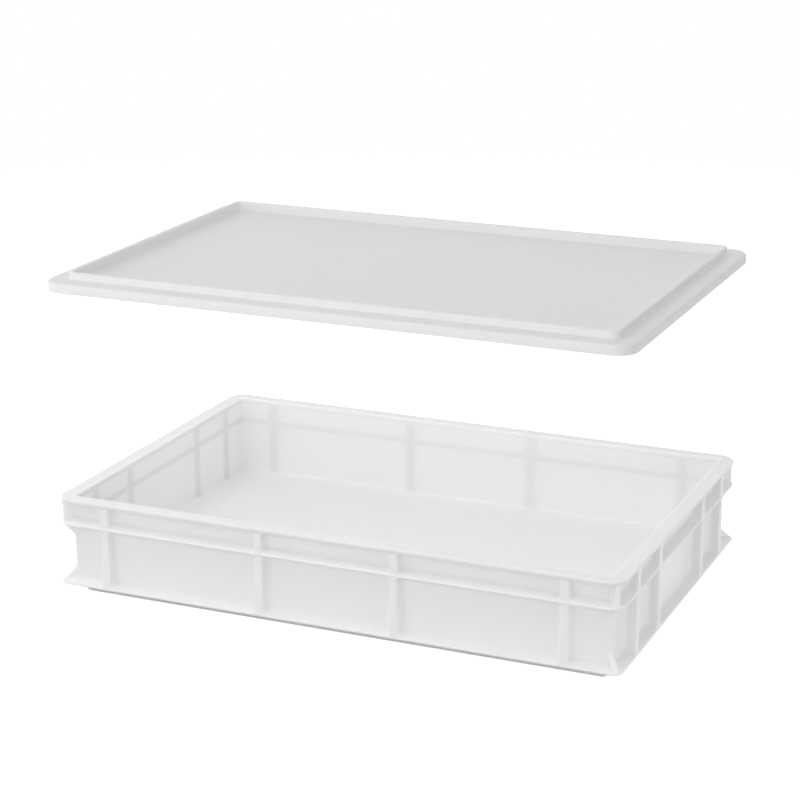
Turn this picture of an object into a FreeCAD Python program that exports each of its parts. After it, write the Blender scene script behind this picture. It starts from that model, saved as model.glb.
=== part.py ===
"""A stacking dough proofing container: a ribbed tray and the loose lid that covers it.

Millimetres, +Z up. The origin is on the ground, under the middle of the tray. X runs along the
long sides. The lid is held above the tray, where it is lifted straight off.
"""
import FreeCAD, Part
import os
import Sketcher

# Driving sizes, in millimetres, each with what it measures
SIZES = [
    ("tray_length", 600, "over the rim"),
    ("tray_width", 400, "over the rim"),
    ("tray_height", 104, "ground to the top of the rim"),
    ("wall_thickness", 3.2, "side walls"),
    ("floor_thickness", 3, "floor"),
    ("floor_lift", 2.7, "underside of the floor above the underside of the base flange"),
    ("flange_reach", 12, "how far the rim and flanges stand out from the wall"),
    ("flange_edge", 2.2, "thickness of the collar and base flanges at their edge"),
    ("rim_thickness", 4, "flat rim round the mouth"),
    ("rim_corner", 18, "outer corner radius of the rim and the collar flange"),
    ("base_corner", 10, "outer corner radius of the base flange"),
    ("mouth_corner", 3.5, "corner radius of the mouth"),
    ("collar_height", 28.3, "top of the rim to the underside of the collar flange"),
    ("collar_rise", 4.3, "slope on top of the collar flange"),
    ("base_rise", 3.8, "slope on top of the base flange"),
    ("foot_height", 11.8, "ground to the underside of the base flange"),
    ("foot_wall", 3, "stacking foot ring"),
    ("hollow_corner", 3, "corner radius inside the foot ring"),
    ("rib_width", 9, "upright ribs"),
    ("rib_setback", 1.2, "rib and web faces inside the edges of the flanges"),
    ("long_rib_near", 72, "inner ribs of the long sides, from the middle"),
    ("long_rib_far", 244, "outer ribs of the long sides, from the middle"),
    ("short_rib_near", 74, "inner ribs of the short sides, from the middle"),
    ("short_rib_far", 144, "outer ribs of the short sides, from the middle"),
    ("web_width", 5, "diagonal webs at the corners"),
    ("web_taper", 16, "height over which a corner web runs in to the wall"),
    ("floor_round", 3, "radius where the floor meets the walls"),
    ("rim_round", 1.2, "radius on the edges of the rim"),
    ("lid_wall", 2.6, "thickness of the lid"),
    ("lid_clearance", 0.6, "between the lid's skirt and the rim, all round"),
    ("skirt_depth", 7.5, "how far the skirt hangs below the top of the rim"),
    ("lid_flange", 18.5, "edge of the lid to the stacking ridge"),
    ("ridge_width", 4.5, "stacking ridge"),
    ("ridge_height", 7.5, "stacking ridge above the flange"),
    ("ridge_corner", 9, "outer corner radius of the ridge"),
    ("ridge_round", 1.5, "radius on the top edges of the ridge"),
    ("panel_drop", 2.5, "top of the panel below the top of the flange"),
    ("panel_clearance", 1, "between the panel's step and the mouth, all round"),
    ("lid_round", 2, "radius on the outer top edge of the lid"),
    ("stack_clearance", 0.7, "between the foot and the ridge of a lid below it, all round"),
    ("seat_clearance", 0.3, "between the lid and the rim when it is closed"),
    ("lid_lift", 222, "how far the lid is held above its seat"),
    ("same_place", 0.001, "two edges closer than this are the same edge"),
]

# Sizes that follow from the driving ones, as expressions
MOUTH_LENGTH = "tray_length - 2 * (flange_reach + wall_thickness)"
MOUTH_WIDTH = "tray_width - 2 * (flange_reach + wall_thickness)"
WALL_LENGTH = "tray_length - 2 * flange_reach"
WALL_WIDTH = "tray_width - 2 * flange_reach"
WALL_CORNER = "mouth_corner + wall_thickness"
RIM_UNDERSIDE = "tray_height - rim_thickness"
COLLAR_UNDERSIDE = "tray_height - collar_height"
FLOOR_UNDERSIDE = "foot_height + floor_lift"
FLOOR_TOP = "foot_height + floor_lift + floor_thickness"
LID_LENGTH = "tray_length + 2 * (lid_clearance + lid_wall)"
LID_WIDTH = "tray_width + 2 * (lid_clearance + lid_wall)"
RIDGE_LENGTH = f"{LID_LENGTH} - 2 * lid_flange"
RIDGE_WIDTH = f"{LID_WIDTH} - 2 * lid_flange"
RECESS_LENGTH = f"{RIDGE_LENGTH} - 2 * ridge_width"
RECESS_WIDTH = f"{RIDGE_WIDTH} - 2 * ridge_width"
RECESS_CORNER = "ridge_corner - ridge_width"
FOOT_LENGTH = f"{RECESS_LENGTH} - 2 * stack_clearance"
FOOT_WIDTH = f"{RECESS_WIDTH} - 2 * stack_clearance"
FOOT_CORNER = f"{RECESS_CORNER} - stack_clearance"
PANEL_TOP = "lid_wall - panel_drop"

# The corner webs stand halfway between two sides
DIAGONAL_DEGREES = 45

doc = FreeCAD.newDocument("dough_proofing_container")
sheet = doc.addObject("Spreadsheet::Sheet", "sizes")
for row, (alias, value, note) in enumerate(SIZES, start=1):
    sheet.set(f"A{row}", alias)
    sheet.set(f"B{row}", str(value))
    sheet.set(f"C{row}", note)
    sheet.setAlias(f"B{row}", alias)
doc.recompute()


def bound(expression):
    """The expression with each size read from the sheet."""
    words = expression.replace("(", " ( ").replace(")", " ) ").split()
    aliases = {alias for alias, value, note in SIZES}
    return " ".join(f"sizes.{word}" if word in aliases else word for word in words)


def size_of(expression):
    """The expression's present value."""
    return float(sheet.evalExpression(bound(expression)))


def add_sketch(body, name, role, height=None):
    """A sketch on one of the body's origin planes, raised along the plane's normal to a height."""
    plane = next(item for item in body.Origin.OriginFeatures if item.Role == role)
    sketch = body.newObject("Sketcher::SketchObject", name)
    sketch.AttachmentSupport = (plane, [""])
    sketch.MapMode = "FlatFace"
    if height is not None:
        sketch.setExpression("AttachmentOffset.Base.z", bound(height))
    return sketch


def bind(sketch, constraint, name, expression):
    """Add a dimension to the sketch and tie it to the sheet."""
    index = sketch.addConstraint(constraint)
    sketch.renameConstraint(index, name)
    sketch.setExpression(f"Constraints.{name}", bound(expression))


def draw_rounded_rectangle(sketch, length, width, corner, prefix="outline"):
    """Draw a rectangle with round corners about the sketch's origin."""
    half_x = size_of(length) / 2
    half_y = size_of(width) / 2
    radius = size_of(corner)
    quarter = FreeCAD.Units.Quantity("90 deg").getValueAs("rad").Value
    sides = []
    rounds = []
    signs = [(1, 1), (-1, 1), (-1, -1), (1, -1)]
    for turn, (sign_x, sign_y) in enumerate(signs):
        centre = FreeCAD.Vector(sign_x * (half_x - radius), sign_y * (half_y - radius), 0)
        circle = Part.Circle(centre, FreeCAD.Vector(0, 0, 1), radius)
        arc = Part.ArcOfCircle(circle, turn * quarter, (turn + 1) * quarter)
        rounds.append(sketch.addGeometry(arc, False))
    for turn in range(len(signs)):
        start = sketch.getPoint(rounds[turn], 2)
        end = sketch.getPoint(rounds[(turn + 1) % len(signs)], 1)
        sides.append(sketch.addGeometry(Part.LineSegment(start, end), False))
    for turn, side in enumerate(sides):
        following = rounds[(turn + 1) % len(sides)]
        sketch.addConstraint(Sketcher.Constraint("Tangent", rounds[turn], 2, side, 1))
        sketch.addConstraint(Sketcher.Constraint("Tangent", side, 2, following, 1))
        direction = "Horizontal" if turn % 2 == 0 else "Vertical"
        sketch.addConstraint(Sketcher.Constraint(direction, side))
        if turn:
            sketch.addConstraint(Sketcher.Constraint("Equal", rounds[0], rounds[turn]))
    sketch.addConstraint(Sketcher.Constraint("Symmetric", rounds[0], 3, rounds[2], 3, -1, 1))
    across = Sketcher.Constraint("DistanceX", sides[1], 1, sides[3], 1, 2 * half_x)
    bind(sketch, across, prefix + "_length", length)
    along = Sketcher.Constraint("DistanceY", sides[2], 1, sides[0], 1, 2 * half_y)
    bind(sketch, along, prefix + "_width", width)
    bind(sketch, Sketcher.Constraint("Radius", rounds[0], radius), prefix + "_corner", corner)


def draw_polygon(sketch, points, prefix):
    """Draw a closed outline through points that are pairs of expressions."""
    places = [FreeCAD.Vector(size_of(x), size_of(y), 0) for x, y in points]
    following = places[1:] + places[:1]
    sides = [sketch.addGeometry(Part.LineSegment(a, b), False) for a, b in zip(places, following)]
    for turn, side in enumerate(sides):
        after = sides[(turn + 1) % len(sides)]
        sketch.addConstraint(Sketcher.Constraint("Coincident", side, 2, after, 1))
    for turn, side in enumerate(sides):
        for axis, place, expression in zip("XY", places[turn], points[turn]):
            ends = (-1, 1, side, 1) if place > 0 else (side, 1, -1, 1)
            distance = expression if place > 0 else f"-1 * ( {expression} )"
            constraint = Sketcher.Constraint("Distance" + axis, *ends, abs(place))
            bind(sketch, constraint, f"{prefix}_{axis.lower()}_{turn}", distance)


def add_pad(body, name, sketch, length, symmetric=False):
    """Raise a sketch into a solid, or spread it to both sides of its plane."""
    pad = body.newObject("PartDesign::Pad", name)
    pad.Profile = (sketch, [""])
    pad.SideType = "Symmetric" if symmetric else "One side"
    pad.setExpression("Length", bound(length))
    return pad


def add_pocket(body, name, sketch, depth, upward=False):
    """Cut a sketch down into the body, or up into it from below."""
    doc.recompute()
    before = body.Shape.Volume
    pocket = body.newObject("PartDesign::Pocket", name)
    pocket.Profile = (sketch, [""])
    pocket.Reversed = upward
    pocket.setExpression("Length", bound(depth))
    doc.recompute()
    if body.Shape.Volume >= before:
        raise RuntimeError(f"{name} cuts nothing")
    return pocket


def add_mirror(body, name, originals, role):
    """Repeat features on the other side of one of the body's origin planes."""
    plane = next(item for item in body.Origin.OriginFeatures if item.Role == role)
    mirror = body.newObject("PartDesign::Mirrored", name)
    mirror.Originals = originals
    mirror.MirrorPlane = (plane, [""])
    body.Tip = mirror
    return mirror


def add_fillet(body, name, loops, radius):
    """Round the loops of edges that cross the +X side at the given half length and height."""
    doc.recompute()
    base = body.Tip
    reach = size_of("same_place")
    names = []
    for half_length, height in loops:
        place = size_of(half_length)
        level = size_of(height)
        for number, edge in enumerate(base.Shape.Edges, start=1):
            box = edge.BoundBox
            misses = [box.XMin - place, box.XMax - place, box.ZMin - level, box.ZMax - level]
            if max(abs(miss) for miss in misses) < reach:
                names.append(f"Edge{number}")
    if len(names) < len(loops):
        raise RuntimeError(f"{name} finds no edge to round")
    fillet = body.newObject("PartDesign::Fillet", name)
    fillet.Base = (base, names)
    fillet.setExpression("Radius", bound(radius))
    doc.recompute()
    return fillet


def add_slab(body, name, length, width, corner, bottom, thickness):
    """A flat slab with round corners, from a height upwards."""
    sketch = add_sketch(body, name + "_outline", "XY_Plane", bottom)
    draw_rounded_rectangle(sketch, length, width, corner)
    return add_pad(body, name, sketch, thickness)


def add_sloped_flange(body, name, corner, underside, rise):
    """A flange round the tray: an upright edge, and a top that slopes up to the wall."""
    edge_top = f"{underside} + flange_edge"
    add_slab(body, name + "_edge", "tray_length", "tray_width", corner, underside, "flange_edge")
    outer = add_sketch(body, name + "_slope_outer", "XY_Plane", edge_top)
    draw_rounded_rectangle(outer, "tray_length", "tray_width", corner)
    inner = add_sketch(body, name + "_slope_inner", "XY_Plane", f"{edge_top} + {rise}")
    draw_rounded_rectangle(inner, WALL_LENGTH, WALL_WIDTH, WALL_CORNER)
    slope = body.newObject("PartDesign::AdditiveLoft", name + "_slope")
    slope.Profile = (outer, [""])
    slope.Sections = [(inner, [""])]
    slope.Ruled = True
    return slope


def add_ribs(body):
    """Upright ribs from the base flange to the rim, each a bar that the cavity cuts in two."""
    bottom = "foot_height"
    height = f"{RIM_UNDERSIDE} - foot_height"
    face_x = "tray_length / 2 - rib_setback"
    face_y = "tray_width / 2 - rib_setback"
    long_sketch = add_sketch(body, "long_side_ribs_outline", "XY_Plane", bottom)
    for place in ("long_rib_near", "long_rib_far"):
        near = f"{place} - rib_width / 2"
        far = f"{place} + rib_width / 2"
        corners = [(near, f"-1 * ( {face_y} )"), (far, f"-1 * ( {face_y} )"), (far, face_y), (near, face_y)]
        draw_polygon(long_sketch, corners, place)
    long_ribs = add_pad(body, "long_side_ribs", long_sketch, height)
    add_mirror(body, "long_side_ribs_mirrored", [long_ribs], "YZ_Plane")
    short_sketch = add_sketch(body, "short_side_ribs_outline", "XY_Plane", bottom)
    for place in ("short_rib_near", "short_rib_far"):
        near = f"{place} - rib_width / 2"
        far = f"{place} + rib_width / 2"
        corners = [(f"-1 * ( {face_x} )", near), (face_x, near), (face_x, far), (f"-1 * ( {face_x} )", far)]
        draw_polygon(short_sketch, corners, place)
    short_ribs = add_pad(body, "short_side_ribs", short_sketch, height)
    add_mirror(body, "short_side_ribs_mirrored", [short_ribs], "XZ_Plane")


def add_corner_webs(body):
    """Diagonal webs that stand out from the wall's corners, cut away between the two flanges."""
    corner_offset = "flange_reach + wall_thickness + mouth_corner"
    rim_face = f"2 ^ 0.5 * ( {corner_offset} - rim_corner ) + rim_corner - rib_setback"
    base_face = f"2 ^ 0.5 * ( {corner_offset} - base_corner ) + base_corner - rib_setback"
    root = "mouth_corner / 2"
    collar_foot = f"{COLLAR_UNDERSIDE} - web_taper"
    base_top = "foot_height + flange_edge"
    base_head = f"{base_top} + web_taper"
    collar_web = [(root, RIM_UNDERSIDE), (rim_face, RIM_UNDERSIDE), (rim_face, COLLAR_UNDERSIDE),
                  (WALL_CORNER, collar_foot), (root, collar_foot)]
    base_web = [(root, "foot_height"), (base_face, "foot_height"), (base_face, base_top),
                (WALL_CORNER, base_head), (root, base_head)]
    webs = []
    for name, side in (("back", 1), ("front", -1)):
        out = f"{-side} * ( tray_width / 2 - ( {corner_offset} ) )"
        sketch = add_sketch(body, f"{name}_corner_web_outline", "XZ_Plane", out)
        turn = FreeCAD.Rotation(FreeCAD.Vector(0, 1, 0), side * DIAGONAL_DEGREES)
        sketch.AttachmentOffset = FreeCAD.Placement(FreeCAD.Vector(), turn)
        sketch.setExpression("AttachmentOffset.Base.x", bound(f"tray_length / 2 - ( {corner_offset} )"))
        draw_polygon(sketch, collar_web, "collar")
        draw_polygon(sketch, base_web, "base")
        webs.append(add_pad(body, f"{name}_corner_web", sketch, "web_width", symmetric=True))
    add_mirror(body, "corner_webs_mirrored", webs, "YZ_Plane")


def make_tray():
    """The ribbed box: one moulding."""
    body = doc.addObject("PartDesign::Body", "tray")
    body.Label = "tray"
    wall_height = "tray_height - foot_height"
    add_slab(body, "wall_block", WALL_LENGTH, WALL_WIDTH, WALL_CORNER, "foot_height", wall_height)
    add_slab(body, "rim", "tray_length", "tray_width", "rim_corner", RIM_UNDERSIDE, "rim_thickness")
    add_sloped_flange(body, "collar_flange", "rim_corner", COLLAR_UNDERSIDE, "collar_rise")
    add_sloped_flange(body, "base_flange", "base_corner", "foot_height", "base_rise")
    foot = add_sketch(body, "foot_outline", "XY_Plane")
    draw_rounded_rectangle(foot, FOOT_LENGTH, FOOT_WIDTH, FOOT_CORNER)
    add_pad(body, "foot", foot, FLOOR_TOP)
    add_ribs(body)
    add_corner_webs(body)
    cavity = add_sketch(body, "cavity_outline", "XY_Plane", "tray_height")
    draw_rounded_rectangle(cavity, MOUTH_LENGTH, MOUTH_WIDTH, "mouth_corner")
    add_pocket(body, "cavity", cavity, f"tray_height - ( {FLOOR_TOP} )")
    hollow = add_sketch(body, "hollow_outline", "XY_Plane")
    hollow_length = f"{FOOT_LENGTH} - 2 * foot_wall"
    hollow_width = f"{FOOT_WIDTH} - 2 * foot_wall"
    draw_rounded_rectangle(hollow, hollow_length, hollow_width, "hollow_corner")
    add_pocket(body, "hollow", hollow, FLOOR_UNDERSIDE, upward=True)
    mouth_half = f"( {MOUTH_LENGTH} ) / 2"
    add_fillet(body, "floor_fillet", [(mouth_half, FLOOR_TOP)], "floor_round")
    rim_loops = [("tray_length / 2", "tray_height"), (mouth_half, "tray_height")]
    add_fillet(body, "rim_fillet", rim_loops, "rim_round")
    return body


def make_lid():
    """The loose cover: one moulding, drawn with its seat on the rim at height zero."""
    body = doc.addObject("PartDesign::Body", "lid")
    body.Label = "lid"
    lid_corner = "rim_corner + lid_clearance + lid_wall"
    skirt_bottom = "-1 * skirt_depth"
    lid_depth = "skirt_depth + lid_wall"
    add_slab(body, "lid_block", LID_LENGTH, LID_WIDTH, lid_corner, skirt_bottom, lid_depth)
    skirt = add_sketch(body, "skirt_outline", "XY_Plane", skirt_bottom)
    skirt_length = "tray_length + 2 * lid_clearance"
    skirt_width = "tray_width + 2 * lid_clearance"
    draw_rounded_rectangle(skirt, skirt_length, skirt_width, "rim_corner + lid_clearance")
    add_pocket(body, "skirt_hollow", skirt, "skirt_depth", upward=True)
    step_length = f"{MOUTH_LENGTH} - 2 * panel_clearance"
    step_width = f"{MOUTH_WIDTH} - 2 * panel_clearance"
    step_bottom = f"{PANEL_TOP} - lid_wall"
    step_corner = "mouth_corner - panel_clearance"
    add_slab(body, "panel_step", step_length, step_width, step_corner, step_bottom, "panel_drop")
    add_slab(body, "ridge", RIDGE_LENGTH, RIDGE_WIDTH, "ridge_corner", "lid_wall", "ridge_height")
    recess = add_sketch(body, "recess_outline", "XY_Plane", "lid_wall + ridge_height")
    draw_rounded_rectangle(recess, RECESS_LENGTH, RECESS_WIDTH, RECESS_CORNER)
    add_pocket(body, "recess", recess, "ridge_height + panel_drop")
    ridge_top = "lid_wall + ridge_height"
    ridge_loops = [(f"( {RIDGE_LENGTH} ) / 2", ridge_top), (f"( {RECESS_LENGTH} ) / 2", ridge_top)]
    add_fillet(body, "ridge_fillet", ridge_loops, "ridge_round")
    add_fillet(body, "lid_fillet", [(f"( {LID_LENGTH} ) / 2", "lid_wall")], "lid_round")
    body.setExpression("Placement.Base.z", bound("tray_height + seat_clearance + lid_lift"))
    return body


def check(pieces):
    """Stop if anything failed to build or a piece is not one sound solid."""
    for item in doc.Objects:
        if {"Invalid", "Error"} & set(item.State):
            raise RuntimeError(f"{item.Label} failed to build")
    for piece in pieces:
        shape = piece.Shape
        if shape.isNull() or not shape.isValid() or len(shape.Solids) != 1:
            raise RuntimeError(f"{piece.Label} is not one valid solid")


pieces = [make_tray(), make_lid()]
doc.recompute()
check(pieces)
os.makedirs("parts", exist_ok=True)
for piece in pieces:
    piece.Shape.exportStep(os.path.join("parts", piece.Label + ".step"))
    print(piece.Label, "volume", round(piece.Shape.Volume), "cubic millimetres")
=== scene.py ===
"""The looks of a dough proofing container: a ribbed white tray and its loose lid.

Laid out as an add-on and run as a script. Metres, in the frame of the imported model: X along the
long sides, Y along the short sides, Z up from the ground.
"""

import math

import bmesh
import bpy
from bpy.props import FloatProperty, FloatVectorProperty, PointerProperty
from bpy.types import Operator, Panel, PropertyGroup
from mathutils import Matrix, Vector


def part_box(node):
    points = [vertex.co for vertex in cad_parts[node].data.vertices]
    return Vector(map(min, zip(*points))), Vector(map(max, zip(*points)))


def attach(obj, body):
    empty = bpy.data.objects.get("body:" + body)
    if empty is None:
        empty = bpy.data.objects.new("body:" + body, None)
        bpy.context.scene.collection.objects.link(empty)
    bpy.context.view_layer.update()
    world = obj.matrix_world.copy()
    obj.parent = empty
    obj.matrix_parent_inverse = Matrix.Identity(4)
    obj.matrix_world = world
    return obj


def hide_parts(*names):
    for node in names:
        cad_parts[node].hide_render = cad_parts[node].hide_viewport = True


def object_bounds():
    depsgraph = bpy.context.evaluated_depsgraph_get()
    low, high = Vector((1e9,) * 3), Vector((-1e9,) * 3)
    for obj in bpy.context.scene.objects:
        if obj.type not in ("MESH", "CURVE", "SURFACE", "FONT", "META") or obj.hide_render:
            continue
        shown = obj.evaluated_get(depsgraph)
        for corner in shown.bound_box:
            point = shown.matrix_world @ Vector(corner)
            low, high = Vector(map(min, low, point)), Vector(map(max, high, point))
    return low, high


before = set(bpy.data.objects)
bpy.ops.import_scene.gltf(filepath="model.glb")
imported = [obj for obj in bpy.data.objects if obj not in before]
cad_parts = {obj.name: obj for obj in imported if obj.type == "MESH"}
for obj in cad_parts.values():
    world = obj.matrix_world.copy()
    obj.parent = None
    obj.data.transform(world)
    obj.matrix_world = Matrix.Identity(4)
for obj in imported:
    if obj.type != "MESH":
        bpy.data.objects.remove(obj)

bl_info = {
    "name": "Dough proofing container",
    "version": (1, 0, 0),
    "blender": (4, 5, 0),
    "location": "3D View > Sidebar > Dough box",
    "description": "Dresses the packed tray and lid as translucent white mouldings on a pale stage",
    "category": "Add Mesh",
}

CAD_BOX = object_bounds()
TRAY_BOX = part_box("tray")
LID_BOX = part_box("lid")

# How finely round shapes are drawn, and the angle from which an edge stays sharp
CORNER_STEPS = 12
ROUND_STEPS = 5
DISC_STEPS = 64
FLOOR_STEPS = 96
SMOOTH_DEGREES = 32

# How deep an added shape is sunk into the shell that it grows from, and how far the ends of its
# curves stay under the shell's surface
SINK = 0.0009
GRAZE = 0.00003

# Ribs on two opposite sides, and corners
PAIR_RIBS = 8
CORNERS = 4

# Rounding of a corner web: edges that turn more than this, in so many steps, to a circle's arc
WEB_EDGE_DEGREES = 60
WEB_EDGE_STEPS = 2
CIRCLE_PROFILE = 0.5

# Noise in the plastic as (scale, detail), its middle, and how much it changes the roughness
CLOUDS = (7.0, 3.0)
STREAKS = (46.0, 4.0)
TEXTURE = (900.0, 2.0)
NOISE_MIDDLE = 0.5
CLOUD_ROUGHNESS = 0.08
STREAK_ROUGHNESS = 0.10
TEXTURE_STRENGTH = 0.6
PLASTIC_IOR = 1.5

# Lamps: place, width and height in metres, and the only piece that a lamp lights (None: it lights
# everything)
LAMPS = {
    "front": ((-0.4, -2.3, 1.3), (3.0, 0.5), None),
    "key": ((-1.0, -1.6, 2.3), (1.8, 1.2), None),
    "left": ((-2.2, -0.3, 0.85), (1.6, 0.9), None),
    "back": ((0.0, 2.2, 2.2), (3.0, 1.5), None),
    "lid": ((-0.4, -2.0, 0.45), (2.4, 0.3), "lid_moulding"),
    "over": ((-0.15, -0.4, 1.8), (1.4, 1.0), "tray_moulding"),
    "front_low": ((-0.3, -1.7, 0.14), (2.6, 0.24), "tray_moulding"),
    "left_low": ((-1.7, 0.3, 0.055), (1.6, 0.085), "tray_moulding"),
    "right": ((2.1, -0.5, 0.2), (1.6, 0.36), "tray_moulding"),
    "back_low": ((0.0, 1.5, 0.055), (2.6, 0.085), "tray_moulding"),
}
WHITE = (1, 1, 1, 1)
SENSOR_MM = 36


def length(name, description, default):
    """A property that holds a length in metres."""
    return FloatProperty(
        name=name, description=description, default=default, min=0, precision=5, unit="LENGTH")


def share(name, description, default):
    """A property that holds a share of a whole."""
    return FloatProperty(
        name=name, description=description, default=default, min=0, max=1, subtype="FACTOR")


def amount(name, description, default):
    """A property that holds a plain number."""
    return FloatProperty(name=name, description=description, default=default, min=0)


def angle(name, description, default):
    """A property that holds an angle, with its default in degrees."""
    return FloatProperty(
        name=name, description=description, default=math.radians(default), subtype="ANGLE")


def colour(name, description, default):
    """A property that holds a linear colour."""
    return FloatVectorProperty(
        name=name, description=description, default=default, size=3, subtype="COLOR")


class TraySettings(PropertyGroup):
    """Sizes of the tray's moulding."""
    wall: length("Wall", "Thickness of the side walls", 0.0032)
    floor: length("Floor", "Thickness of the floor", 0.003)
    floor_lift: length("Floor lift", "Floor's underside above the base flange's underside", 0.0027)
    flange_reach: length("Flange reach", "How far rim and flanges stand out from the wall", 0.012)
    flange_edge: length("Flange edge", "Thickness of the flanges at their edge", 0.0022)
    rim: length("Rim", "Thickness of the rim", 0.004)
    rim_corner: length("Rim corner", "Outer corner radius of the rim and the collar flange", 0.018)
    base_corner: length("Base corner", "Outer corner radius of the base flange", 0.010)
    mouth_corner: length("Mouth corner", "Corner radius of the mouth", 0.0035)
    collar_height: length("Collar height", "Rim's top to the collar flange's underside", 0.0283)
    collar_rise: length("Collar rise", "Slope on top of the collar flange", 0.0043)
    base_rise: length("Base rise", "Slope on top of the base flange", 0.0038)
    foot_height: length("Foot height", "Ground to the base flange's underside", 0.0118)
    foot_inset: length("Foot inset", "Edge of the rim to the foot ring", 0.0205)
    foot_wall: length("Foot wall", "Thickness of the foot ring", 0.003)
    foot_corner: length("Foot corner", "Corner radius of the foot ring", 0.0038)
    hollow_corner: length("Hollow corner", "Corner radius inside the foot ring", 0.003)
    rib_width: length("Rib width", "Width of the upright ribs", 0.0085)
    rib_setback: length("Rib setback", "Rib faces inside the flanges' edges", 0.0005)
    rib_root: length("Rib root", "Radius where a rib grows out of the wall", 0.0055)
    rib_end: length("Rib end", "Radius where a rib meets the flanges", 0.004)
    rib_round: length("Rib round", "Radius on the upright edges of a rib", 0.0014)
    long_near: length("Long near", "Inner ribs of the long sides, from the middle", 0.072)
    long_far: length("Long far", "Outer ribs of the long sides, from the middle", 0.244)
    short_near: length("Short near", "Inner ribs of the short sides, from the middle", 0.074)
    short_far: length("Short far", "Outer ribs of the short sides, from the middle", 0.144)
    web_width: length("Web width", "Width of the diagonal corner webs", 0.005)
    web_round: length("Web round", "Radius on the outer edges of a corner web", 0.001)
    web_taper: length("Web taper", "Height over which a corner web runs in to the wall", 0.014)
    web_blend: length("Web blend", "Radius where a corner web runs out on the wall", 0.009)
    floor_round: length("Floor round", "Radius where the floor meets the walls", 0.003)
    root_round: length("Root round", "Radius where a flange grows out of the wall", 0.004)
    rim_round: length("Rim round", "Radius on the rim's edges", 0.0012)
    edge_round: length("Edge round", "Radius on the flanges' edges", 0.0008)
    mark_length: length("Mark length", "Length of the bare marking field on the back wall", 0.058)
    mark_height: length("Mark height", "Height of the bare marking field", 0.027)
    mark_along: length("Mark along", "Middle of the marking field from the tray's middle", 0.160)
    mark_up: length("Mark up", "Middle of the marking field above the ground", 0.057)
    mark_frame: length("Mark frame", "Width of the marking field's raised frame", 0.0016)
    mark_relief: length("Mark relief", "How far the frame stands out", 0.0006)
    gate: length("Gate", "Radius of the moulding mark under the floor", 0.006)
    gate_relief: length("Gate relief", "How far the moulding mark stands out", 0.0006)


class LidSettings(PropertyGroup):
    """Sizes of the lid's moulding."""
    wall: length("Wall", "Thickness of the lid", 0.0026)
    corner: length("Corner", "Outer corner radius of the lid", 0.0212)
    skirt_depth: length("Skirt depth", "Skirt below the seat on the rim", 0.0075)
    flange: length("Flange", "Edge of the lid to the stacking ridge", 0.0185)
    ridge_width: length("Ridge width", "Width of the stacking ridge", 0.0045)
    ridge_corner: length("Ridge corner", "Outer corner radius of the ridge", 0.009)
    panel_drop: length("Panel drop", "Top of the panel below the top of the flange", 0.0025)
    step_inset: length("Step inset", "Edge of the lid to the step that enters the mouth", 0.0194)
    step_corner: length("Step corner", "Corner radius of the step", 0.007)
    edge_round: length("Edge round", "Radius on the lid's outer top edge", 0.002)
    ridge_round: length("Ridge round", "Radius on the ridge's top edges", 0.0015)
    root_round: length("Root round", "Radius at the foot of the ridge", 0.0012)
    skirt_round: length("Skirt round", "Radius on the skirt's lower edges", 0.0008)
    disc: length("Disc", "Radius of the round moulding mark in the middle of the panel", 0.040)
    disc_edge: length("Disc edge", "Width of the mark's raised edge", 0.006)
    disc_relief: length("Disc relief", "How far the mark's edge stands out", 0.0004)
    gate: length("Gate", "Radius of the nub in the middle of the mark", 0.004)


class PlasticSettings(PropertyGroup):
    """Finish of the white plastic, and the shade painted into the tray's colour."""
    tint: colour("Tint", "Colour of the plastic", (0.92, 0.92, 0.92))
    gloss: share("Roughness", "Roughness of the moulded skin", 0.37)
    mirror: share("Mirror", "Strength of the gloss, where 0.5 is bare plastic", 0.35)
    depth: length("Depth", "How far light runs inside the plastic", 0.0045)
    cloud: share("Cloud", "How much the tint varies from place to place", 0.03)
    # Painted shade: the walls' colour is darkened where ribs and flanges stand behind them, in
    # place of the light that the thicker plastic holds back
    painted_shade_short: share("Short walls", "How much ribs and flanges darken the short walls", 0.09)
    painted_shade_long: share("Long walls", "How much ribs and flanges darken the long walls", 0.045)
    # Painted shade: the rim's lip is darkened in colour, though its plastic is the same as the
    # walls'
    lip: share("Lip", "How much darker the thin lip of the tray's rim is", 0.11)
    grain: length("Grain", "Height of the fine mould texture", 0.00002)


class StageSettings(PropertyGroup):
    """Floor, lamps and camera."""
    floor_tint: colour("Floor tint", "Colour of the floor", (0.9, 0.9, 0.9))
    floor_glow: share("Floor glow", "White that the camera adds to the floor", 0.72)
    floor_size: length("Floor size", "Radius of the round floor", 2.4)
    floor_fade: length("Floor fade", "Where the floor starts to fade into plain white", 0.8)
    sky: amount("Sky", "Strength of the even light all round", 0.49)
    front: amount("Front lamp", "Power of the strip lamp in front, in watts", 9.5)
    lid: amount("Lid lamp", "Power of the lamp in front that lights the lid alone, in watts", 6.5)
    over: amount("Overhead lamp", "Power of the lamp overhead, in watts", 9.8)
    front_low: amount("Low front lamp", "Power of the low lamp in front, in watts", 1.8)
    key: amount("Key lamp", "Power of the high lamp at the front left, in watts", 4)
    left: amount("Left lamp", "Power of the lamp at the left, in watts", 6.5)
    left_low: amount("Low left lamp", "Power of the low lamp at the left, in watts", 2)
    right: amount("Right lamp", "Power of the strip lamp at the right, in watts", 6.5)
    back: amount("Back lamp", "Power of the high lamp behind, in watts", 7)
    back_low: amount("Low back lamp", "Power of the low lamp behind, in watts", 5)
    azimuth: angle("Azimuth", "Camera to the right of the front", 23.19)
    elevation: angle("Elevation", "Camera above the horizon", 16.96)
    distance: length("Distance", "Camera to the plane through the origin", 2.3538)
    aim_up: length("Aim up", "Middle of the picture above the origin", 0.1790)
    aim_left: length("Aim left", "Middle of the picture to the left of the origin", 0.0054)
    focal_pixels: amount("Focal length", "Focal length in pixels of the picture", 2238)
    picture_pixels: amount("Picture", "Width of the picture in pixels", 800)


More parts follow.
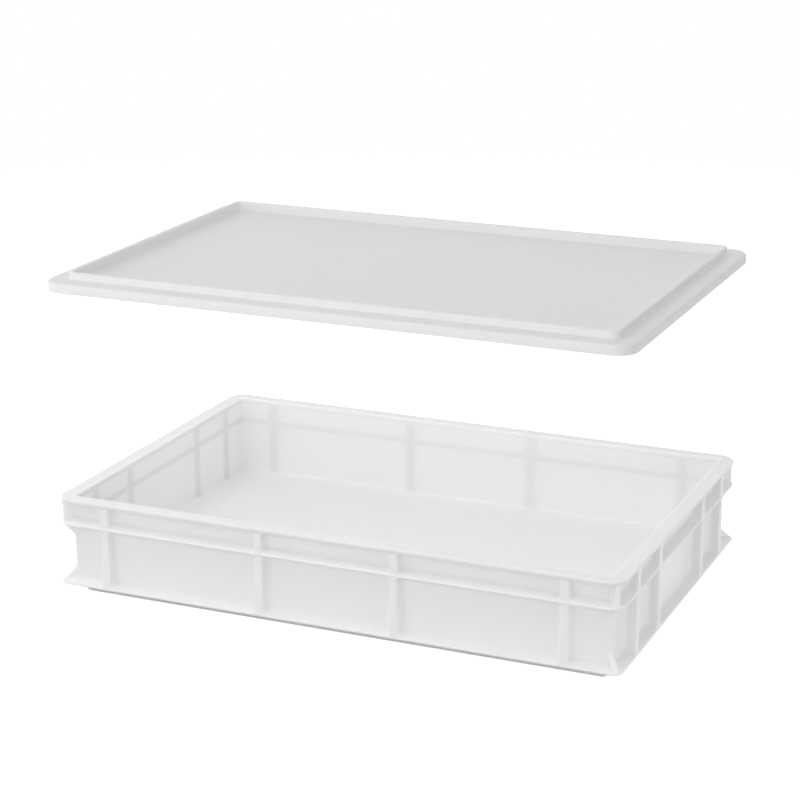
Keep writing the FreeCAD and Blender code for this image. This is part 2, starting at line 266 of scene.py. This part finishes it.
class Wire:
    """A node's output that takes part in Python expressions."""

    def __init__(self, bench, socket):
        self.bench = bench
        self.socket = socket

    def math(self, operation, *values):
        """A Math node on one or two values."""
        return self.bench.add("ShaderNodeMath", {"operation": operation}, dict(enumerate(values)))

    def __add__(self, other):
        return self.math("ADD", self, other)

    def __sub__(self, other):
        return self.math("SUBTRACT", self, other)

    def __rsub__(self, other):
        return self.math("SUBTRACT", other, self)

    def __mul__(self, other):
        return self.math("MULTIPLY", self, other)

    def __truediv__(self, other):
        return self.math("DIVIDE", self, other)

    def __mod__(self, other):
        return self.math("MODULO", self, other)

    def floor(self):
        """The whole number below the value."""
        return self.math("FLOOR", self)

    def size(self):
        """The value without its sign."""
        return self.math("ABSOLUTE", self)

    def most(self, other):
        """The larger of two values."""
        return self.math("MAXIMUM", self, other)

    def near(self, middle, full, fade):
        """One up to a full distance from a middle, and smoothly down to nothing over a fade."""
        return self.bench.add("ShaderNodeMapRange", {"interpolation_type": "SMOOTHSTEP"}, {
            "Value": (self - middle).size(), "From Min": full + fade, "From Max": full})


class Bench:
    """A node tree that is being wired up."""

    def __init__(self, tree):
        self.tree = tree
        self.tree.nodes.clear()

    def add(self, kind, settings=None, sockets=None, output=0):
        """Add a node, set it up, fill or link its sockets and give one of its outputs."""
        node = self.tree.nodes.new(kind)
        for name, value in (settings or {}).items():
            setattr(node, name, value)
        for key, value in (sockets or {}).items():
            for item in value if isinstance(value, list) else [value]:
                if isinstance(item, Wire):
                    self.tree.links.new(item.socket, node.inputs[key])
                else:
                    node.inputs[key].default_value = item
        return Wire(self, node.outputs[output]) if node.outputs else None


def new_material(name):
    """A material and the empty bench of its nodes."""
    material = bpy.data.materials.new(name)
    material.use_nodes = True
    return material, Bench(material.node_tree)


def rounded(corners):
    """The places along a run of (across, up, radius) corners, with each radius drawn as an arc."""
    flat = [Vector(corner[:2]) for corner in corners]
    places = [flat[0]]
    for index in range(1, len(corners) - 1):
        corner = flat[index]
        radius = corners[index][2]
        back = (flat[index - 1] - corner).normalized()
        ahead = (flat[index + 1] - corner).normalized()
        half = back.angle(ahead) / 2
        if radius == 0:
            places.append(corner)
            continue
        start = corner + back * (radius / math.tan(half))
        centre = corner + (back + ahead).normalized() * (radius / math.sin(half))
        turn = math.copysign(math.pi - 2 * half, back.cross(ahead))
        for step in range(ROUND_STEPS + 1):
            spin = Matrix.Rotation(-turn * step / ROUND_STEPS, 2)
            places.append(centre + spin @ (start - centre))
    places.append(flat[-1])
    return places


def ring_places(half_x, half_y, corner):
    """The places round a rectangle with round corners."""
    places = []
    for quarter, (sign_x, sign_y) in enumerate([(1, 1), (-1, 1), (-1, -1), (1, -1)]):
        for step in range(CORNER_STEPS + 1):
            turn = math.radians(90) * (quarter + step / CORNER_STEPS)
            x = sign_x * (half_x - corner) + corner * math.cos(turn)
            y = sign_y * (half_y - corner) + corner * math.sin(turn)
            places.append((x, y))
    return places


def between(place, table):
    """What a table of (place, value) pairs gives at a place, straight between its pairs."""
    for (start, first), (end, last) in zip(table, table[1:]):
        if place <= end:
            return first + (last - first) * max(place - start, 0) / (end - start)
    return table[-1][1]


def new_object(name, tools):
    """An object from finished mesh tools, with its faces pointing outwards."""
    bmesh.ops.recalc_face_normals(tools, faces=tools.faces)
    mesh = bpy.data.meshes.new(name)
    tools.to_mesh(mesh)
    tools.free()
    piece = bpy.data.objects.new(name, mesh)
    bpy.context.scene.collection.objects.link(piece)
    return piece


def add_loft(tools, rings, endless=False):
    """A closed skin through rings with the same number of places each, with flat or no ends."""
    loops = [[tools.verts.new(place) for place in ring] for ring in rings]
    count = len(rings[0])
    for lower, upper in zip(loops, loops[1:] + loops[:1] if endless else loops[1:]):
        for index in range(count):
            after = (index + 1) % count
            tools.faces.new((lower[index], lower[after], upper[after], upper[index]))
    if not endless:
        tools.faces.new(loops[0])
        tools.faces.new(loops[-1])


def lathe(name, profile, height, up):
    """Turn a profile of (radius, rise) places round Z, at a height, facing up (1) or down (-1)."""
    tools = bmesh.new()
    turns = [math.radians(360) * step / DISC_STEPS for step in range(DISC_STEPS)]
    rings = []
    for radius, rise in profile:
        z = height + up * rise
        rings.append([(radius * math.cos(turn), radius * math.sin(turn), z) for turn in turns])
    add_loft(tools, rings)
    return new_object(name, tools)


def join_shapes(piece, shapes):
    """Join added shapes to a piece, so that they make one closed skin, and remove the shapes."""
    for shape in shapes:
        joint = piece.modifiers.new("Join " + shape.name, "BOOLEAN")
        joint.operation = "UNION"
        joint.solver = "MANIFOLD"
        joint.object = shape
    bake_modifiers(piece)
    for shape in shapes:
        bpy.data.objects.remove(shape)


def sweep(name, profile, half_x, half_y, corner_at):
    """Carry a profile of (inset, height) places round a rectangle, and close it in the middle."""
    tools = bmesh.new()
    rings = []
    for inset, height in profile:
        places = ring_places(half_x - inset, half_y - inset, corner_at(inset, height))
        rings.append([(x, y, height) for x, y in places])
    add_loft(tools, rings)
    return new_object(name, tools)


def bake_modifiers(piece):
    """Turn what the modifiers make into the piece's plain mesh, and remove them."""
    graph = bpy.context.evaluated_depsgraph_get()
    shape = piece.evaluated_get(graph)
    mesh = bpy.data.meshes.new_from_object(shape, preserve_all_data_layers=True, depsgraph=graph)
    mesh.name = piece.name
    piece.modifiers.clear()
    piece.data = mesh
    if not mesh.polygons:
        raise RuntimeError(f"{piece.name} came out empty")


def finish_surface(piece):
    """Smooth the faces, keeping real edges, with normals that leave the large faces flat."""
    mesh = piece.data
    mesh.shade_smooth()
    mesh.set_sharp_from_angle(angle=math.radians(SMOOTH_DEGREES))
    weighted = piece.modifiers.new("Flat faces", "WEIGHTED_NORMAL")
    weighted.keep_sharp = True
    bake_modifiers(piece)


def dress(piece, body, node):
    """Let a piece stand for its solid and ride on its body."""
    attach(piece, body)
    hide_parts(node)


def tray_shade(bench, place, plastic, tray):
    """How much painted shade darkens the tray: on the rim's lip, and on walls where a rib or flange
    stands behind.
    """
    x, y, z = [bench.add("ShaderNodeSeparateXYZ", None, {0: place}, axis) for axis in "XYZ"]
    x, y = x.size(), y.size()
    outer_x, outer_y, top = TRAY_BOX[1]
    reach, thick = tray.flange_reach, tray.wall
    inner_x, inner_y = outer_x - reach - thick, outer_y - reach - thick
    skin = thick / 4
    collar_edge = top - tray.collar_height + tray.flange_edge
    collar = z.near(collar_edge, tray.flange_edge / 2, tray.root_round)
    flanges = z.near(top, tray.rim, tray.root_round).most(collar)
    core = tray.rib_width / 4
    fade = core + tray.rib_root

    # Painted shade on one pair of walls, strongest behind its ribs and behind the flanges
    def wall(across, depth, along, near_rib, far_rib):
        ribs = along.near(near_rib, core, fade).most(along.near(far_rib, core, fade))
        return across.near(depth, skin, skin) * ribs.most(flanges)

    long_wall_shade = wall(y, inner_y, x, tray.long_near, tray.long_far) * plastic.painted_shade_long
    short_wall_shade = wall(x, inner_x, y, tray.short_near, tray.short_far) * plastic.painted_shade_short
    inside = x.near(0, inner_x + skin, skin) * y.near(0, inner_y + skin, skin)
    below_rim = z.near(0, top - tray.rim, tray.rim / 2)
    overhang = x.near(outer_x, reach, thick).most(y.near(outer_y, reach, thick))
    # Painted shade on the rim's lip: its colour is darkened, not its plastic
    lip = overhang * z.near(top, tray.rim, tray.rim / 2) * plastic.lip
    return long_wall_shade.most(short_wall_shade) * inside * below_rim + lip


def white_plastic(scene):
    """Translucent white polyethylene with a satin moulded skin."""
    name = "white polyethylene"
    if name in bpy.data.materials:
        return bpy.data.materials[name]
    settings = scene.doughbox_plastic
    material, bench = new_material(name)
    place = bench.add("ShaderNodeTexCoord", output="Object")

    def noise(scale, detail):
        sockets = {"Vector": place, "Scale": scale, "Detail": detail}
        return bench.add("ShaderNodeTexNoise", None, sockets)

    cloud = noise(*CLOUDS) - NOISE_MIDDLE
    streak = noise(*STREAKS) - NOISE_MIDDLE
    shade = cloud * settings.cloud + streak * (settings.cloud / 3) + 1.0
    # Painted shade: the tray's colour is darkened on the rim's lip and on the walls behind its ribs
    # and flanges
    shade = shade - tray_shade(bench, place, settings, scene.doughbox_tray)
    tint = bench.add("ShaderNodeVectorMath", {"operation": "SCALE"}, {
        0: tuple(settings.tint), "Scale": shade})
    skin = streak * STREAK_ROUGHNESS + cloud * CLOUD_ROUGHNESS + settings.gloss
    bump = bench.add("ShaderNodeBump", None, {
        "Height": noise(*TEXTURE), "Distance": settings.grain, "Strength": TEXTURE_STRENGTH})
    shader = bench.add("ShaderNodeBsdfPrincipled", {"subsurface_method": "RANDOM_WALK"}, {
        "Base Color": tint,
        "Roughness": skin,
        "Normal": bump,
        "IOR": PLASTIC_IOR,
        "Specular IOR Level": settings.mirror,
        "Subsurface Weight": 1.0,
        "Subsurface Radius": (1.0, 1.0, 1.0),
        "Subsurface Scale": settings.depth,
    })
    bench.add("ShaderNodeOutputMaterial", None, {"Surface": shader})
    return material


def rib_outline(settings, flare):
    """A rib seen from above: it grows out of the wall in two curves and ends in a flat face."""
    half = settings.rib_width / 2 + flare
    root = half + settings.rib_root
    depth = settings.flange_reach - settings.rib_setback
    right = [(root, -SINK, 0), (root, -GRAZE, 0)]
    for step in range(1, ROUND_STEPS):
        turn = math.radians(90) * step / ROUND_STEPS
        across = root - settings.rib_root * math.sin(turn)
        out = settings.rib_root * (1 - math.cos(turn)) - GRAZE
        right.append((across, out, 0))
    right.append((half, settings.rib_root, 0))
    right += [(half, depth, settings.rib_round), (0, depth, 0)]
    places = rounded(right)[:-1]
    return places + [Vector((-place.x, place.y)) for place in reversed(places)]


def rib_rings(settings, floor_at, ceiling):
    """Rings up a rib that spreads out where it meets a sloping floor and a flat ceiling."""
    end = settings.rib_end
    rings = []
    spread = [(-SINK, end)]
    for step in range(ROUND_STEPS + 1):
        turn = math.radians(90) * (1 - step / ROUND_STEPS)
        spread.append((end * (1 - math.sin(turn)), end * (1 - math.cos(turn))))
    for rise, flare in spread:
        outline = rib_outline(settings, flare)
        rings.append([(place.x, place.y, floor_at(place.y) + rise) for place in outline])
    for rise, flare in reversed(spread):
        outline = rib_outline(settings, flare)
        rings.append([(place.x, place.y, ceiling - rise) for place in outline])
    return rings


def make_rib(settings, heights):
    """One rib at the origin, standing out along +Y: one part in the collar, one on the panel."""
    reach = settings.flange_reach

    def collar_floor(out):
        return heights["collar_edge"] + settings.collar_rise * (1 - max(out, 0) / reach)

    def base_floor(out):
        return heights["base_edge"] + settings.base_rise * (1 - max(out, 0) / reach)

    tools = bmesh.new()
    add_loft(tools, rib_rings(settings, collar_floor, heights["rim_under"]))
    add_loft(tools, rib_rings(settings, base_floor, heights["collar_under"]))
    return new_object("rib", tools)


def make_web(settings, heights):
    """One corner web at the origin, out along +Y: one part in the collar, one on the base."""
    setback = settings.flange_reach + settings.wall + settings.mouth_corner
    half = settings.web_width / 2
    wall = settings.mouth_corner + settings.wall
    root = settings.mouth_corner + SINK
    skim = math.sqrt(wall ** 2 - half ** 2) - GRAZE
    blend = settings.web_blend

    def face(corner):
        return math.sqrt(2) * (setback - corner) + corner - settings.rib_setback

    runs = [(face(settings.rim_corner), heights["rim_middle"], heights["collar_under"], -1),
            (face(settings.base_corner), heights["base_middle"], heights["base_edge"], 1)]
    tools = bmesh.new()
    for out, start, end, sign in runs:
        foot = end + sign * settings.web_taper
        last = foot + sign * blend
        outline = rounded([
            (root, start, 0), (out, start, 0), (out, end, 0),
            (skim, foot, blend), (skim, last, 0), (root, last, 0),
        ])
        sides = (-half, half)
        add_loft(tools, [[(side, place.x, place.y) for place in outline] for side in sides])
    limit = wall + settings.web_round
    turn = math.radians(WEB_EDGE_DEGREES)
    edges = [edge for edge in tools.edges
             if len(edge.link_faces) == 2 and edge.calc_face_angle() > turn
             and min(vert.co.y for vert in edge.verts) > limit]
    bmesh.ops.bevel(tools, geom=edges, offset=settings.web_round, segments=WEB_EDGE_STEPS,
                    profile=CIRCLE_PROFILE, affect="EDGES")
    return new_object("web", tools)


def rib_tree():
    """Geometry nodes that set ribs and corner webs round a shell and join them to it."""
    tree = bpy.data.node_groups.new("ribs and webs", "GeometryNodeTree")
    bench = Bench(tree)
    sizes = ("Half length", "Half width", "Long near", "Long far", "Short near", "Short far",
             "Corner x", "Corner y")
    inputs = {"Shell": "NodeSocketGeometry", "Rib": "NodeSocketObject", "Web": "NodeSocketObject"}
    inputs.update(dict.fromkeys(sizes, "NodeSocketFloat"))
    inputs["Plastic"] = "NodeSocketMaterial"
    for name, kind in inputs.items():
        tree.interface.new_socket(name, in_out="INPUT", socket_type=kind)
    tree.interface.new_socket("Moulding", in_out="OUTPUT", socket_type="NodeSocketGeometry")
    wires = {name: bench.add("NodeGroupInput", output=name) for name in inputs}
    index = bench.add("GeometryNodeInputIndex")
    first_sign = index % 2 * 2 - 1
    second_sign = (index / 2).floor() % 2 * 2 - 1
    third_sign = (index / 4).floor() * 2 - 1
    outer = (second_sign + 1) / 2

    def place(count, x, y, turn, source):
        position = bench.add("ShaderNodeCombineXYZ", None, {"X": x, "Y": y})
        points = bench.add("GeometryNodePoints", None, {"Count": count, "Position": position})
        rotation = bench.add("ShaderNodeCombineXYZ", None, {"Z": turn})
        shape = bench.add("GeometryNodeObjectInfo", None, {"Object": source}, "Geometry")
        sockets = {"Points": points, "Instance": shape, "Rotation": rotation}
        instances = bench.add("GeometryNodeInstanceOnPoints", None, sockets)
        return bench.add("GeometryNodeRealizeInstances", None, {"Geometry": instances})

    def along(near, far):
        return first_sign * (near + outer * (far - near))

    long_x = along(wires["Long near"], wires["Long far"])
    long_y = third_sign * wires["Half width"]
    long_turn = (1 - third_sign) * math.radians(90)
    long_ribs = place(PAIR_RIBS, long_x, long_y, long_turn, wires["Rib"])
    short_x = third_sign * wires["Half length"]
    short_y = along(wires["Short near"], wires["Short far"])
    short_turn = third_sign * math.radians(-90)
    short_ribs = place(PAIR_RIBS, short_x, short_y, short_turn, wires["Rib"])
    web_x, web_y = first_sign * wires["Corner x"], second_sign * wires["Corner y"]
    web_turn = second_sign * (first_sign * math.radians(-45)) + (1 - second_sign) * math.radians(90)
    webs = place(CORNERS, web_x, web_y, web_turn, wires["Web"])
    joined = bench.add("GeometryNodeMeshBoolean", {"operation": "UNION", "solver": "MANIFOLD"},
                       {"Mesh": [wires["Shell"], long_ribs, short_ribs, webs]})
    solid = bench.add("GeometryNodeRealizeInstances", None, {"Geometry": joined})
    coloured = bench.add("GeometryNodeSetMaterial", None, {
        "Geometry": solid, "Material": wires["Plastic"]})
    bench.add("NodeGroupOutput", None, {"Moulding": coloured})
    return tree


class DOUGHBOX_OT_tray(Operator):
    """Make the ribbed tray"""
    bl_idname = "doughbox.tray"
    bl_label = "Tray"

    def execute(self, context):
        settings = context.scene.doughbox_tray
        half = (TRAY_BOX[1] - TRAY_BOX[0]) / 2
        heights = self.heights(settings, TRAY_BOX[1].z)
        tray = self.shell(settings, heights, half)
        rib = make_rib(settings, heights)
        web = make_web(settings, heights)
        setback = settings.flange_reach + settings.wall + settings.mouth_corner
        inputs = {
            "Rib": rib,
            "Web": web,
            "Half length": half.x - settings.flange_reach,
            "Half width": half.y - settings.flange_reach,
            "Long near": settings.long_near,
            "Long far": settings.long_far,
            "Short near": settings.short_near,
            "Short far": settings.short_far,
            "Corner x": half.x - setback,
            "Corner y": half.y - setback,
            "Plastic": white_plastic(context.scene),
        }
        tree = rib_tree()
        ribs = tray.modifiers.new("Ribs", "NODES")
        ribs.node_group = tree
        for socket in tree.interface.items_tree:
            if socket.in_out == "INPUT" and socket.name in inputs:
                ribs[socket.identifier] = inputs[socket.name]
        bake_modifiers(tray)
        for helper in (rib, web):
            bpy.data.objects.remove(helper)
        join_shapes(tray, self.marks(settings, heights, half))
        finish_surface(tray)
        dress(tray, "tray", "tray")
        return {"FINISHED"}

    def heights(self, settings, top):
        """The levels that the tray's features meet at."""
        base_under = settings.foot_height
        return {
            "rim_top": top,
            "rim_under": top - settings.rim,
            "rim_middle": top - settings.rim / 2,
            "collar_under": top - settings.collar_height,
            "collar_edge": top - settings.collar_height + settings.flange_edge,
            "base_under": base_under,
            "base_middle": base_under + settings.flange_edge / 2,
            "base_edge": base_under + settings.flange_edge,
            "floor_under": base_under + settings.floor_lift,
            "floor_top": base_under + settings.floor_lift + settings.floor,
        }

    def shell(self, settings, heights, half):
        """The tray without ribs: the section through a side wall, carried round the box."""
        reach = settings.flange_reach
        mouth = reach + settings.wall
        foot = settings.foot_inset
        hollow = foot + settings.foot_wall
        # Any inset past the foot ring will do: the skin closes flat from there
        middle = 2 * hollow
        rim, edge, root = settings.rim_round, settings.edge_round, settings.root_round
        profile = rounded([
            (middle, heights["floor_top"], 0),
            (mouth, heights["floor_top"], settings.floor_round),
            (mouth, heights["rim_top"], rim),
            (0, heights["rim_top"], rim),
            (0, heights["rim_under"], edge),
            (reach, heights["rim_under"], root),
            (reach, heights["collar_edge"] + settings.collar_rise, root),
            (0, heights["collar_edge"], edge),
            (0, heights["collar_under"], edge),
            (reach, heights["collar_under"], root),
            (reach, heights["base_edge"] + settings.base_rise, root),
            (0, heights["base_edge"], edge),
            (0, heights["base_under"], edge),
            (foot, heights["base_under"], edge),
            (foot, 0, edge),
            (hollow, 0, edge),
            (hollow, heights["floor_under"], edge),
            (middle, heights["floor_under"], 0),
        ])
        wall_corners = [
            (reach, settings.mouth_corner + settings.wall),
            (mouth, settings.mouth_corner),
            (foot, settings.foot_corner),
            (hollow, settings.hollow_corner),
        ]
        upper = [(0, settings.rim_corner)] + wall_corners
        lower = [(0, settings.base_corner)] + wall_corners

        def corner_at(inset, height):
            return between(inset, upper if height > heights["floor_top"] + settings.wall else lower)

        return sweep("tray_moulding", profile, half.x, half.y, corner_at)

    def marks(self, settings, heights, half):
        """The bare marking field on the back wall and the moulding mark under the floor."""
        wall = half.y - settings.flange_reach
        along, up = settings.mark_along, settings.mark_up
        half_length, half_height = settings.mark_length / 2, settings.mark_height / 2
        width, relief = settings.mark_frame, settings.mark_relief
        section = [(0, -SINK), (0, relief / 2), (width / 4, relief), (width * 3 / 4, relief),
                   (width, relief / 2), (width, -SINK)]
        rings = []
        for inset, rise in section:
            places = ring_places(half_length - inset, half_height - inset, 2 * width - inset)
            rings.append([(along + x, wall + rise, up + z) for x, z in places])
        tools = bmesh.new()
        add_loft(tools, rings, endless=True)
        field = new_object("marking_field", tools)
        gate, nub = settings.gate, settings.gate_relief
        profile = [(gate / 2, nub), (gate * 3 / 4, nub * 3 / 4), (gate, 0), (gate, -SINK)]
        return [field, lathe("gate_mark", profile, heights["floor_under"], -1)]


class DOUGHBOX_OT_lid(Operator):
    """Make the loose lid"""
    bl_idname = "doughbox.lid"
    bl_label = "Lid"

    def execute(self, context):
        settings = context.scene.doughbox_lid
        half = (LID_BOX[1] - LID_BOX[0]) / 2
        corners = [
            (0, settings.corner),
            (settings.wall, settings.corner - settings.wall),
            (settings.flange, settings.ridge_corner),
            (settings.step_inset, settings.step_corner),
            (settings.flange + settings.ridge_width, settings.ridge_corner - settings.ridge_width),
        ]

        def corner_at(inset, height):
            return between(inset, corners)

        lid = sweep("lid_moulding", self.profile(settings), half.x, half.y, corner_at)
        lid.data.materials.append(white_plastic(context.scene))
        join_shapes(lid, [self.disc(settings)])
        finish_surface(lid)
        dress(lid, "lid", "lid")
        return {"FINISHED"}

    def disc(self, settings):
        """The round moulding mark in the panel's middle, with a nub where the plastic came in."""
        panel_top = LID_BOX[0].z + settings.skirt_depth + settings.wall - settings.panel_drop
        nub, edge, relief = settings.gate, settings.disc_edge, settings.disc_relief
        outside = settings.disc
        inside = outside - edge
        profile = [
            (nub / 2, relief), (nub * 3 / 4, relief), (nub, relief / 4),
            (inside, relief / 4), (inside + edge / 4, relief), (inside + edge / 2, relief),
            (outside, 0), (outside, -SINK),
        ]
        return lathe("moulding_mark", profile, panel_top, 1)

    def profile(self, settings):
        """The section through the lid's edge, from the panel over the ridge to the underside."""
        bottom = LID_BOX[0].z
        ridge_top = LID_BOX[1].z
        seat = bottom + settings.skirt_depth
        flange_top = seat + settings.wall
        panel_top = flange_top - settings.panel_drop
        panel_under = panel_top - settings.wall
        ridge = settings.flange
        recess = ridge + settings.ridge_width
        # Any inset past the ridge will do: the skin closes flat from there
        middle = 2 * recess
        ridge_round, root = settings.ridge_round, settings.root_round
        return rounded([
            (middle, panel_top, 0),
            (recess, panel_top, root),
            (recess, ridge_top, ridge_round),
            (ridge, ridge_top, ridge_round),
            (ridge, flange_top, root),
            (0, flange_top, settings.edge_round),
            (0, bottom, settings.skirt_round),
            (settings.wall, bottom, settings.skirt_round),
            (settings.wall, seat, root),
            (settings.step_inset, seat, root),
            (settings.step_inset, panel_under, root),
            (middle, panel_under, 0),
        ])


class DOUGHBOX_OT_stage(Operator):
    """Make the floor, the lamps and the camera"""
    bl_idname = "doughbox.stage"
    bl_label = "Stage"

    def execute(self, context):
        scene = context.scene
        settings = scene.doughbox_stage
        self.make_floor(settings)
        self.make_sky(scene, settings)
        pieces = [piece for place, size, piece in LAMPS.values() if piece]
        alone = {piece: self.alone(piece) for piece in dict.fromkeys(pieces)}
        for name, (place, size, piece) in LAMPS.items():
            power = getattr(settings, name)
            self.make_lamp(scene, f"{name}_lamp", power, place, size, alone.get(piece))
        self.make_camera(scene, settings)
        scene.view_settings.view_transform = "Standard"
        return {"FINISHED"}

    def make_floor(self, settings):
        """A wide pale floor that reads as white to the camera and keeps the shadow."""
        tools = bmesh.new()
        bmesh.ops.create_circle(
            tools, cap_ends=True, segments=FLOOR_STEPS, radius=settings.floor_size)
        floor = new_object("floor", tools)
        material, bench = new_material("pale floor")
        matt = bench.add("ShaderNodeBsdfDiffuse", None, {"Color": (*settings.floor_tint, 1)})
        glow = bench.add("ShaderNodeEmission", None, {
            "Color": WHITE, "Strength": settings.floor_glow})
        white = bench.add("ShaderNodeEmission", None, {"Color": WHITE, "Strength": 1.0})
        lit = bench.add("ShaderNodeAddShader", None, {0: matt, 1: glow})
        place = bench.add("ShaderNodeTexCoord", output="Object")
        away = bench.add("ShaderNodeVectorMath", {"operation": "LENGTH"}, {0: place}, "Value")
        fade = bench.add("ShaderNodeMapRange", {"interpolation_type": "SMOOTHSTEP"}, {
            "Value": away, "From Min": settings.floor_fade, "From Max": settings.floor_size})
        faded = bench.add("ShaderNodeMixShader", None, {"Fac": fade, 1: lit, 2: white})
        seen = self.seen_directly(bench)
        mixed = bench.add("ShaderNodeMixShader", None, {"Fac": seen, 1: matt, 2: faded})
        bench.add("ShaderNodeOutputMaterial", None, {"Surface": mixed})
        floor.data.materials.append(material)

    def seen_directly(self, bench):
        """One for the camera's own rays and for what gloss or glass show, else nothing."""
        camera, gloss, glass = [bench.add("ShaderNodeLightPath", output=f"Is {kind} Ray")
                                for kind in ("Camera", "Glossy", "Transmission")]
        return camera.most(gloss.most(glass))

    def make_sky(self, scene, settings):
        """Even white light all round, which the camera sees as plain white."""
        world = bpy.data.worlds.new("white studio")
        scene.world = world
        world.use_nodes = True
        bench = Bench(world.node_tree)
        strength = self.seen_directly(bench) * (1 - settings.sky) + settings.sky
        sky = bench.add("ShaderNodeBackground", None, {"Color": WHITE, "Strength": strength})
        bench.add("ShaderNodeOutputWorld", None, {"Surface": sky})

    def alone(self, name):
        """A collection of one piece, for lamps that light it and pass the other piece by."""
        piece = bpy.data.collections.new(f"{name} alone")
        piece.objects.link(bpy.data.objects[name])
        return piece

    def make_lamp(self, scene, name, power, place, size, alone):
        """A large soft lamp that faces the middle of the box, and may light one piece alone."""
        lamp = bpy.data.lights.new(name, "AREA")
        lamp.shape = "RECTANGLE"
        lamp.size, lamp.size_y = size
        lamp.energy = power
        holder = bpy.data.objects.new(name, lamp)
        holder.location = place
        middle = (CAD_BOX[0] + CAD_BOX[1]) / 2
        holder.rotation_euler = (middle - Vector(place)).to_track_quat("-Z", "Y").to_euler()
        holder.visible_camera = holder.visible_glossy = False
        if alone:
            holder.light_linking.receiver_collection = alone
            holder.light_linking.blocker_collection = alone
        scene.collection.objects.link(holder)

    def make_camera(self, scene, settings):
        """A camera at the picture's angle, aimed past the origin by the picture's own offset."""
        camera = bpy.data.cameras.new("camera")
        camera.sensor_width = SENSOR_MM
        camera.lens = camera.sensor_width * settings.focal_pixels / settings.picture_pixels
        turn, rise = settings.azimuth, settings.elevation
        level = math.cos(rise)
        back = Vector((math.sin(turn) * level, -math.cos(turn) * level, math.sin(rise)))
        right = Vector((math.cos(turn), math.sin(turn), 0))
        up = back.cross(right)
        holder = bpy.data.objects.new("camera", camera)
        aim = up * settings.aim_up - right * settings.aim_left
        holder.location = back * settings.distance + aim
        holder.rotation_euler = (-back).to_track_quat("-Z", "Y").to_euler()
        scene.collection.objects.link(holder)
        scene.camera = holder


class DOUGHBOX_PT_panel(Panel):
    """The buttons that make the container"""
    bl_idname = "DOUGHBOX_PT_panel"
    bl_label = "Dough box"
    bl_space_type = "VIEW_3D"
    bl_region_type = "UI"
    bl_category = "Dough box"

    def draw(self, context):
        for operator in OPERATORS:
            self.layout.operator(operator.bl_idname)


SETTINGS = {
    "doughbox_tray": TraySettings,
    "doughbox_lid": LidSettings,
    "doughbox_plastic": PlasticSettings,
    "doughbox_stage": StageSettings,
}
OPERATORS = [DOUGHBOX_OT_tray, DOUGHBOX_OT_lid, DOUGHBOX_OT_stage]


def register():
    """Make the settings, operators and panel known."""
    for name, group in SETTINGS.items():
        bpy.utils.register_class(group)
        setattr(bpy.types.Scene, name, PointerProperty(type=group))
    for item in OPERATORS + [DOUGHBOX_PT_panel]:
        bpy.utils.register_class(item)


def unregister():
    """Take the settings, operators and panel away again."""
    for item in reversed(OPERATORS + [DOUGHBOX_PT_panel]):
        bpy.utils.unregister_class(item)
    for name, group in SETTINGS.items():
        delattr(bpy.types.Scene, name)
        bpy.utils.unregister_class(group)


def main():
    """Make every piece and the stage."""
    register()
    for operator in OPERATORS:
        group, name = operator.bl_idname.split(".")
        getattr(getattr(bpy.ops, group), name)()


if __name__ == "__main__":
    main()
